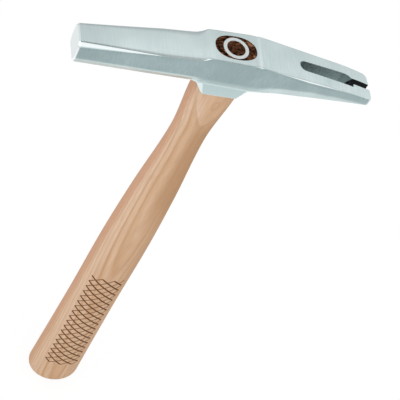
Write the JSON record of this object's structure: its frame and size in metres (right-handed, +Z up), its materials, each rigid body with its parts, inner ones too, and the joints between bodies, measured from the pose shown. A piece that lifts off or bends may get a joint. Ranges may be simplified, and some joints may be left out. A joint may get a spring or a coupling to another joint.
{
  "type": "upholstery hammer",
  "caption": "Upholstery hammer with a slim steel head, a chamfered poll and a split magnetic end, on a waisted wooden handle.",
  "frame": {"origin": "middle of the handle's flat butt end", "axes": "+Z runs up the handle to the head, +X points to the split end and -X to the striking face, +Y is across the head"},
  "size_m": [0.141, 0.0246, 0.306],
  "materials": {
    "ground_steel": "satin, ground across the head",
    "hickory": "sanded and lightly lacquered",
    "wedge_wood": "end grain, cut flush",
    "ring_steel": "plain, bright on its driven edge"
  },
  "bodies": {
    "root": {"hammer_head": "ground_steel", "handle": "hickory", "kerf_wedge": "wedge_wood", "ring_wedge": "ring_steel"}
  },
  "joints": []
}
